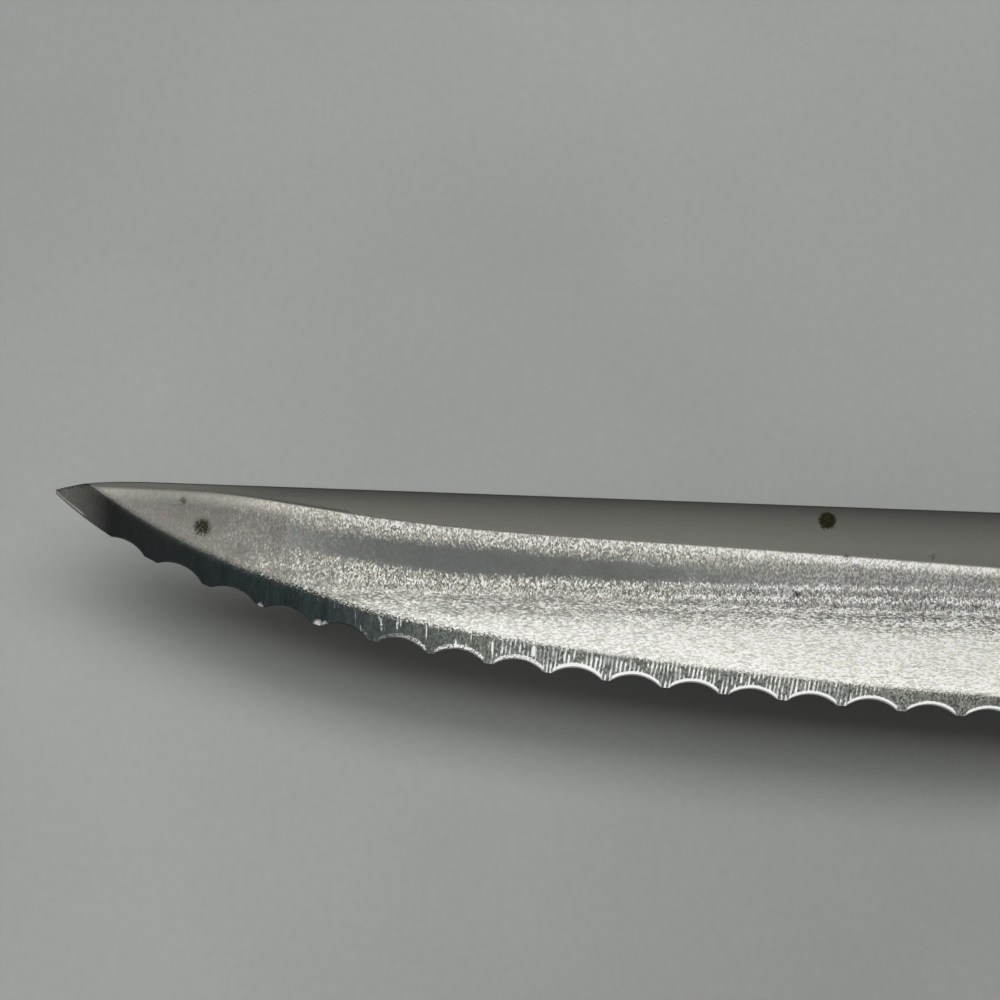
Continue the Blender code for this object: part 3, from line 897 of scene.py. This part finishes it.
class Nodes:
    """A node tree in the making: each method adds a node and returns its output."""

    def __init__(self, tree):
        self.nodes = tree.nodes
        self.links = tree.links

    def feed(self, socket, value):
        if isinstance(value, bpy.types.NodeSocket):
            self.links.new(value, socket)
        else:
            socket.default_value = value

    def add(self, kind, output, inputs, **settings):
        """Adds a node with settings and inputs, which are named or numbered, and gives an output."""
        made = self.nodes.new("ShaderNode" + kind)
        for name, value in settings.items():
            setattr(made, name, value)
        for name, value in inputs.items():
            self.feed(made.inputs[name], value)
        return made.outputs[output]

    def parts(self, vector):
        """The three parts of a vector or a colour."""
        return self.add("SeparateXYZ", "X", {"Vector": vector}).node.outputs[:]

    def math(self, operation, *values):
        return self.add("Math", "Value", dict(enumerate(values)), operation=operation)

    def between(self, value, low, high, start=0.0, end=1.0):
        """Smooth step of a value from start, at low, to end, at high."""
        given = {"Value": value, "From Min": low, "From Max": high, "To Min": start, "To Max": end}
        return self.add("MapRange", "Result", given, interpolation_type="SMOOTHSTEP")


class Finish(Nodes):
    """A node material in the making."""

    def __init__(self, name):
        self.material = bpy.data.materials.new(name)
        self.material.use_nodes = True
        super().__init__(self.material.node_tree)

    def set(self, **values):
        for name, value in values.items():
            self.feed(self.nodes["Principled BSDF"].inputs[name.replace("_", " ")], value)

    def place(self, stretch=EVEN):
        """Place on the object in millimetres, stretched along the axes."""
        factors = [MM * part for part in stretch]
        source = self.add("TexCoord", "Object", {})
        return self.add("VectorMath", "Vector", {0: source, 1: factors}, operation="MULTIPLY")

    def cells(self, stretch):
        """Random colour of the cell that a stretched place falls in."""
        return self.add("TexVoronoi", "Color", {"Vector": self.place(stretch), "Scale": 1.0})

    def fact(self, name):
        return self.add("Attribute", "Fac", {}, attribute_name=name)

    def vector(self, x, y):
        return self.add("CombineXYZ", "Vector", {"X": x, "Y": y})

    def noise(self, vector, scale, detail, roughness=0.5):
        given = {"Vector": vector, "Scale": scale, "Detail": detail, "Roughness": roughness}
        return self.add("TexNoise", "Fac", given)

    def grain(self, stretch, scale, detail, roughness):
        return self.noise(self.place(stretch), scale, detail, roughness)

    def times(self, first, *others):
        for other in others:
            first = self.math("MULTIPLY", first, other)
        return first

    def scaled(self, value, factor, offset):
        return self.math("MULTIPLY_ADD", value, factor, offset)

    def mix(self, share, first, second, blend="MIX"):
        """Colour between a first and a second one."""
        given = {0: share}
        for socket, color in zip(COLOR_SOCKETS, (first, second)):
            given[socket] = (*color, 1.0) if isinstance(color, tuple) else color
        return self.add("Mix", COLOR_OUTPUT, given, data_type="RGBA", blend_type=blend)

    def blend(self, share, first, second):
        """Number between a first and a second one."""
        return self.add("Mix", 0, dict(zip((0, *NUMBER_SOCKETS), (share, first, second))))

    def ramp(self, value, *stops):
        """Colours by a value from 0 to 1; a stop is a place and a colour or a grey."""
        made = self.add("ValToRGB", "Color", {"Fac": value})
        elements = made.node.color_ramp.elements
        while len(elements) < len(stops):
            elements.new(1.0)
        for element, (place, color) in zip(elements, stops):
            element.position = place
            element.color = (*color, 1.0) if isinstance(color, tuple) else (color, color, color, 1.0)
        return made

    def levels(self, value, span, stops):
        """Colours by a value in millimetres, within a span."""
        stops = [(place / span, color) for place, color in stops]
        return self.ramp(self.math("DIVIDE", value, span), *stops)

    def mottled(self, color, value, share, dark, light, low=0.3, high=0.7):
        """A colour made darker where a value is low and lighter where it is high."""
        return self.mix(share, color, self.ramp(value, (low, dark), (high, light)), "OVERLAY")

    def bump(self, height, depth, strength):
        given = {"Strength": strength, "Distance": depth / MM, "Height": height}
        return self.add("Bump", "Normal", given)


class GroundSteel(Finish):
    """Satin flat, sparkling hollow with a smooth stripe, striated bevel, bright rims and a few pits,
    with painted reflection, highlights and shade in the colours.
    """

    def __init__(self):
        super().__init__("ground_steel")
        for name in FACTS:
            setattr(self, name, self.fact(name))
        self.across, self.height, _ = self.parts(self.place())
        self.depth = self.math("SUBTRACT", ORIGIN.y * MM, self.height)
        for name, noise in STEEL_NOISES.items():
            setattr(self, name, self.grain(*noise))
        self.standing, hops, self.ticked = self.parts(self.cells(STANDING))
        self.ragged = self.scaled(self.fine, *RAGGED)
        self.drift = self.math("SUBTRACT", self.blotch, NOISE_MIDDLE)
        self.jump = self.math("SUBTRACT", hops, NOISE_MIDDLE)
        self.wavy_depth = self.wavy(self.depth, *DEPTH_WAVES)
        self.wavy_tip = self.wavy(self.from_tip, *LENGTH_WAVES)
        self.drifting_tip = self.scaled(self.drift, LIT_DRIFT, self.from_tip)
        self.on_side = self.math("ABSOLUTE", self.side)
        self.from_bevel = self.math("ABSOLUTE", self.above_bevel)
        self.ragged_line = self.scaled(self.ragged, LINE_RAGGED, self.below_grind)
        self.torn_line = self.scaled(self.ragged, self.share(*TEARING), self.above_bevel)
        self.find_stripe()
        self.find_rows()
        self.find_cuts()
        self.find_zones()

    def share(self, *steps):
        """Product of smooth steps of the measures."""
        return self.times(*(self.between(getattr(self, name), *limits) for name, *limits in steps))

    def marked(self, color, tone, *steps):
        return self.mix(self.share(*steps), color, tone)

    def wavy(self, value, by_jump, by_drift):
        """A distance that jumps from fleck to fleck and drifts from blotch to blotch."""
        return self.scaled(self.jump, by_jump, self.scaled(self.drift, by_drift, value))

    def find_stripe(self):
        """Depths that slant with the two borders of the stripe."""
        top, bottom = (self.math("SUBTRACT", bend, self.from_tip) for bend in STRIPE_BENDS)
        bottom = self.math("MAXIMUM", bottom, 0.0)
        self.stripe_top = self.scaled(top, STRIPE_SLOPES[0], self.wavy_depth)
        self.stripe_bottom = self.scaled(bottom, STRIPE_SLOPES[1], self.wavy_depth)

    def find_rows(self):
        """Ridges of the bright rows that the grinding wheel left."""
        climb = self.scaled(self.from_tip, ROW_SLOPE, self.wavy(self.depth, *ROW_WAVES))
        turns = self.scaled(climb, tau / ROW_PITCH, -ROW_DEPTH * tau / ROW_PITCH)
        self.ridge = self.scaled(self.rows, ROW_BREAKING, self.math("COSINE", turns))

    def find_cuts(self):
        """Marks across the bevel: a scattered wave, single cuts, and the patches that they come in."""
        down = self.times(self.depth, CUT_LENGTH)
        self.cuts = self.noise(self.vector(self.times(self.from_tip, CUT_STRETCH), down), 1.0, 0.0)
        self.patches = self.noise(self.vector(self.times(self.from_tip, PATCH_STRETCH), down), 1.0, 1.0)
        turns = self.scaled(self.depth, CUT_LEAN, self.times(self.from_tip, tau / CUT_PITCH))
        wave = self.math("SINE", self.scaled(self.drift, CUT_DRIFT, turns))
        self.cut_wave = self.scaled(self.cuts, CUT_SCATTER, wave)

    def find_zones(self):
        self.at_tip = self.share(TIP_FACET)
        self.near_tip = self.share(FRONT_ZONE)
        self.to_rear = self.share(REAR_ZONE)
        self.stripe = self.share(*STRIPE)
        self.in_hollow = self.blend(self.at_tip, self.share(CRISP_LINE), self.share(SOFT_LINE))
        self.on_bevel = self.blend(self.at_tip, self.share(BEVEL_LINE), self.share(BEVEL_LINE_AT_TIP))
        middle = self.levels(self.wavy_depth, DEPTH_SPAN, MIDDLE_FLECKS)
        rear = self.levels(self.wavy_depth, DEPTH_SPAN, REAR_FLECKS)
        flecks = self.blend(self.near_tip, self.blend(self.to_rear, middle, rear), FRONT_FLECKS)
        self.flecks = self.blend(self.stripe, flecks, STRIPE_FLECKS)
        # Painted highlight of the rims: lit from about 25 mm behind the tip, broken up until about 46
        # mm
        broken = self.blend(self.share(WHOLE_RIMS), self.share(BROKEN_RIMS), 1.0)
        self.rim_light = self.times(self.share(LIT_RIMS), broken)
        narrowed = self.math("SUBTRACT", self.above_rim, self.share(RIM_GROWTH))
        self.frayed = self.scaled(self.ragged, RIM_FRAYED, narrowed)
        self.ragged_pits = self.times(self.spots(PITS), self.scaled(self.ragged, PIT_RAGGED, 1.0))

    def spots(self, marks):
        """Share of uneven round marks on the left side of the blade."""
        push = self.scaled(self.fine, 2 * SPOT_PUSH, -SPOT_PUSH)
        pushed = self.vector(self.math("ADD", self.across, push), self.math("ADD", self.height, push))
        found = 0.0
        for from_tip, below_spine, radius, strength in marks:
            centre = (BLADE_BOX[0].x * MM + from_tip, ORIGIN.y * MM - below_spine, 0.0)
            away = self.add("VectorMath", "Value", {0: pushed, 1: centre}, operation="DISTANCE")
            spot = self.between(away, *(radius * part for part in SPOT_BORDER), 0.0, strength)
            found = self.math("MAXIMUM", spot, found)
        return self.times(found, self.share(LEFT_SIDE))

    def flat_color(self):
        # Painted reflection over a satin finish: darker at the spine, lighter toward the grind line
        color = self.levels(self.from_spine, FLAT_SPAN, FLAT_TONES)
        color = self.mottled(color, self.streaks, *FLAT_MOTTLE)
        color = self.mix(self.levels(self.from_tip, LENGTH_SPAN, FLAT_DARKER_TO_HEEL), color, FLAT_HEEL_DARK_TONE)
        # Over the flat: a painted highlight along the grind line, the tip facet's tone and a painted
        # shade along the spine edge
        for line in FLAT_LINES:
            color = self.marked(color, *line)
        return self.mix(self.share(ACROSS_SPINE), color, self.ramp(self.fine, *SPINE_TONES))

    def hollow_color(self):
        # Hollow tones, with a partly painted highlight next to the bevel line
        middle = self.levels(self.wavy_depth, DEPTH_SPAN, MIDDLE_TONES)
        color = self.mix(self.to_rear, middle, self.levels(self.wavy_depth, DEPTH_SPAN, REAR_TONES))
        color = self.marked(color, *ROW_MARKS)
        # Painted highlight under the grind line
        color = self.mix(self.share(*PAINTED_UNDER_LINE_HIGHLIGHT), color, self.mix(self.to_rear, *PAINTED_UNDER_LINE_HIGHLIGHT_TONES))
        band = self.mix(self.at_tip, *FRONT_BAND_TONES)
        color = self.mix(self.near_tip, color, self.mix(self.share(FRONT_BAND), FRONT_TONE, band))
        # Painted shade: the stripe is darker
        color = self.mix(self.stripe, color, STRIPE_PAINTED_SHADE)
        lying = self.parts(self.cells(LYING))[0]
        fleck = self.blend(self.share(LYING_ZONE), self.standing, lying)
        fleck = self.scaled(self.math("POWER", fleck, FLECK_POWER), *FLECK_RANGE)
        # The flecks lighten and darken the colour: grind grain with painted sparkle
        color = self.mix(1.0, color, self.scaled(fleck, self.flecks, 1.0), "MULTIPLY")
        color = self.marked(color, *SCORES)
        color = self.mix(TINTED, color, self.cells(TINTS), "OVERLAY")
        return self.mottled(color, self.blotch, *HOLLOW_MOTTLE)

    def bevel_color(self):
        # Bevel tones with painted reflection, darkest near the tip
        color = self.levels(self.from_tip, LENGTH_SPAN, BEVEL_TONES)
        color = self.mottled(color, self.streaks, self.share(BEVEL_STREAKED), *BEVEL_STREAKS)
        color = self.mottled(color, self.standing, self.share(BEVEL_SPECKLED), *BEVEL_SPECKLES)
        marks = self.math("MAXIMUM", self.share(*CUT_MARKS), self.share(*TICK_MARKS))
        color = self.mix(marks, color, CUT_TONE)
        # Scuffs, and a painted highlight along the edge at the tip
        color = self.marked(self.marked(color, *SCUFFS), *TIP_EDGE_PAINTED_HIGHLIGHT)
        # Painted highlight: a white strip along the rims
        painted_rim_glint = self.times(self.share(RIM_EDGE), self.notch, self.rim_light)
        return self.mix(painted_rim_glint, color, PAINTED_GLINT_WHITE)

    def finished(self):
        pitted = self.share(PIT_SHARE)
        color = self.mix(self.in_hollow, self.flat_color(), self.hollow_color())
        color = self.mix(self.on_bevel, color, self.bevel_color())
        # The scallops' walls: painted shade near the tip, painted highlight further back
        color = self.mix(self.rim, color, self.mix(self.rim_light, RIM_PAINTED_SHADE, PAINTED_GLINT_WHITE))
        # Painted glints on the nicks
        color = self.mix(self.spots(NICKS), color, PAINTED_GLINT_WHITE)
        color = self.mix(pitted, color, self.ramp(self.fine, *RUST_TONES))
        roughness = self.blend(self.stripe, HOLLOW_ROUGHNESS, STRIPE_ROUGHNESS)
        roughness = self.blend(self.near_tip, roughness, FRONT_ROUGHNESS)
        roughness = self.blend(self.in_hollow, FLAT_ROUGHNESS, roughness)
        roughness = self.blend(self.on_bevel, roughness, BEVEL_ROUGHNESS)
        roughness = self.blend(self.rim, roughness, RIM_ROUGHNESS)
        roughness = self.blend(self.math("POWER", pitted, RUST_POWER), roughness, RUST_ROUGHNESS)
        above_bevel = self.math("SUBTRACT", 1.0, self.on_bevel)
        relief = self.times(self.fine, self.in_hollow, self.flecks, above_bevel)
        specular = self.blend(pitted, STEEL_SPECULAR, RUST_SPECULAR)
        self.set(Base_Color=color, Metallic=self.math("SUBTRACT", 1.0, pitted), Roughness=roughness)
        self.set(Normal=self.bump(relief, *STEEL_RELIEF), Specular_IOR_Level=specular)
        return self.material


def dark_wood():
    """Oiled hardwood with long grain, open pores and paler rubbed patches."""
    finish = Finish("dark_hardwood")
    fibre = finish.grain(*WOOD_FIBRE)
    color = finish.mottled(finish.ramp(finish.grain(*WOOD_BANDS), *WOOD_TONES), fibre, *WOOD_MOTTLE)
    rubbed = finish.between(finish.grain(*WOOD_RUBBED), *RUBBED_SHARE)
    pores = finish.between(finish.grain(*WOOD_PORES), *PORE_SHARE)
    color = finish.mix(pores, finish.mix(rubbed, color, RUBBED_TONE), PORE_TONE)
    roughness = finish.blend(pores, finish.between(fibre, *WOOD_ROUGHNESS), PORE_ROUGHNESS)
    relief = finish.scaled(pores, -1.0, finish.times(fibre, FIBRE_HEIGHT))
    normal = finish.bump(relief, *WOOD_RELIEF)
    finish.set(Base_Color=color, Metallic=0.0, Roughness=roughness, Normal=normal)
    return finish.material


def worn_brass():
    """Brass turned on a lathe, with a thin brown tarnish and stray scratches."""
    finish = Finish("rivet_brass")
    from_axis = finish.times(finish.fact("from_axis"), LATHE_RINGS_PER_MM)
    rings = finish.noise(finish.vector(from_axis, 0.0), 1.0, 1.0)
    tarnish = finish.grain(*TARNISH)
    scratches = finish.grain(*BRASS_SCRATCHES)
    color = finish.ramp(tarnish, *BRASS_TONES)
    color = finish.mix(finish.between(scratches, *SCRATCHED_SHARE), color, SCRATCHED_TONE)
    roughness = finish.between(tarnish, *BRASS_ROUGHNESS)
    normal = finish.bump(finish.scaled(scratches, SCRATCH_HEIGHT, rings), *BRASS_RELIEF)
    finish.set(Base_Color=color, Metallic=1.0, Roughness=roughness, Normal=normal)
    return finish.material


def build_knife():
    """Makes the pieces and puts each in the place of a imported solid."""
    steel = GroundSteel().finished()
    wood = dark_wood()
    brass = worn_brass()
    rivets = []
    for name in RIVETS:
        low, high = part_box(f"{name}_rivet_socket")
        place = Vector(((low.x + high.x) / 2, (low.y + high.y) / 2, ORIGIN.z))
        rivets.append((name, place, *rivet_profiles((high.x - low.x) / 2)))
    bores = [turned(f"{name}_rivet_bore", hole, place) for name, place, _, _, hole in rivets]
    pieces = [
        (blade(), "blade", "steel", steel),
        (scale("left_scale_look", 1), "left_scale", "scale_wood", wood),
        (scale("right_scale_look", -1), "right_scale", "scale_wood", wood),
    ]
    for piece, _, _, _ in pieces:
        drill(piece, bores)
    for bore in bores:
        bpy.data.objects.remove(bore)
    for name, place, socket, pin, _ in rivets:
        for node, profile in ((f"{name}_rivet_socket", socket), (f"{name}_rivet_pin", pin)):
            pieces.append((turned(f"{node}_look", profile, place), node, "rivet_brass", brass))
    for piece, node, slot, material in pieces:
        piece.data.materials.clear()
        piece.data.materials.append(material)
        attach(piece, "root")
        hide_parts(node)


def build_floor():
    mesh = bpy.data.meshes.new("floor")
    half = FLOOR_SIZE / 2
    corners = [(-half, -half, 0), (half, -half, 0), (half, half, 0), (-half, half, 0)]
    mesh.from_pydata(corners, [], [(0, 1, 2, 3)])
    floor = placed("floor", mesh)
    floor.location.z = -HEAD_CROWN
    finish = Finish("matte_grey_floor")
    color = finish.ramp(finish.grain(*FLOOR_CLOUDS), *FLOOR_TONES)
    color = finish.mottled(color, finish.grain(*FLOOR_GRAIN), *FLOOR_MOTTLE)
    x, y, _ = finish.parts(finish.place())
    # Painted light and shade: lighter at the near left, darker at the near right
    tone = finish.between(x, *FLOOR_PAINTED_SHADING_ACROSS)
    tone = finish.blend(finish.between(y, *FLOOR_PAINTED_SHADING_AWAY), tone, FLOOR_PAINTED_SHADING_FAR)
    color = finish.mix(1.0, color, tone, "MULTIPLY")
    finish.set(Base_Color=color, Roughness=FLOOR_ROUGHNESS, Specular_IOR_Level=FLOOR_SPECULAR)
    mesh.materials.append(finish.material)


def build_camera():
    """Camera that sees the tip at its pixel of the photograph, from a little before the vertical."""
    tilt = radians(CAMERA_TILT)
    turn = Matrix.Rotation(tilt, 3, "X") @ Matrix.Rotation(radians(CAMERA_ROLL), 3, "Z")
    middle = IMAGE_SIZE / 2
    pixels_away = middle / tan(radians(FIELD_OF_VIEW / 2))
    ray = turn @ Vector((TIP_PIXEL[0] - middle, middle - TIP_PIXEL[1], -pixels_away))
    distance = pixels_away / PIXELS_PER_MM / MM
    eye_height = ORIGIN.z + HALF_STEEL + cos(tilt) * distance
    tip = Vector((BLADE_BOX[0].x, ORIGIN.y - TIP_DROP, ORIGIN.z))
    eye = tip + ray * ((eye_height - tip.z) / ray.z)
    data = bpy.data.cameras.new("camera")
    data.angle = radians(FIELD_OF_VIEW)
    data.clip_start = NEAREST_SEEN
    camera = placed("camera", data)
    camera.matrix_world = Matrix.Translation(eye) @ turn.to_4x4()
    bpy.context.scene.camera = camera


def build_light():
    """Area lights that face the blade, each of a given radiance."""
    aim = Vector((BLADE_BOX[0].x + BLADE_LENGTH / 3, ORIGIN.y - HEEL_DEPTH / 2, ORIGIN.z))
    for name, place, size, radiance, lights_matt, lights_shiny in LIGHTS:
        across, before = (radians(part) for part in place)
        way = Vector((tan(across), -sin(before), cos(before))).normalized()
        data = bpy.data.lights.new(name, "AREA")
        data.shape = "RECTANGLE"
        data.size, data.size_y = (2 * LIGHT_DISTANCE * tan(radians(part)) for part in size)
        data.energy = radiance * pi * data.size * data.size_y
        light = placed(name, data)
        facing = way.to_track_quat("Z", "Y")
        light.matrix_world = Matrix.LocRotScale(aim + way * LIGHT_DISTANCE, facing, None)
        light.visible_camera = False
        light.visible_diffuse = lights_matt
        light.visible_glossy = lights_shiny


def build_world():
    """Dim fill for the floor, and a pale surround for what the camera and the metal see."""
    world = bpy.data.worlds.new("studio")
    bpy.context.scene.world = world
    world.use_nodes = True
    tree = Nodes(world.node_tree)
    fill = tree.nodes["Background"]
    fill.inputs["Color"].default_value = (AMBIENT, AMBIENT, AMBIENT, 1.0)
    height = tree.parts(tree.add("TexCoord", "Generated", {}))[2]
    shade = tree.between(height, *SURROUND_BY_HEIGHT)
    seen = tree.add("Background", "Background", {"Color": shade})
    looking = tree.add("LightPath", "Is Camera Ray", {})
    looking = tree.math("MAXIMUM", looking, looking.node.outputs["Is Glossy Ray"])
    mixed = tree.add("MixShader", "Shader", {0: looking, 1: fill.outputs["Background"], 2: seen})
    tree.feed(tree.nodes["World Output"].inputs["Surface"], mixed)


bpy.context.scene.view_settings.view_transform = "Standard"
build_knife()
build_floor()
build_camera()
build_light()
build_world()
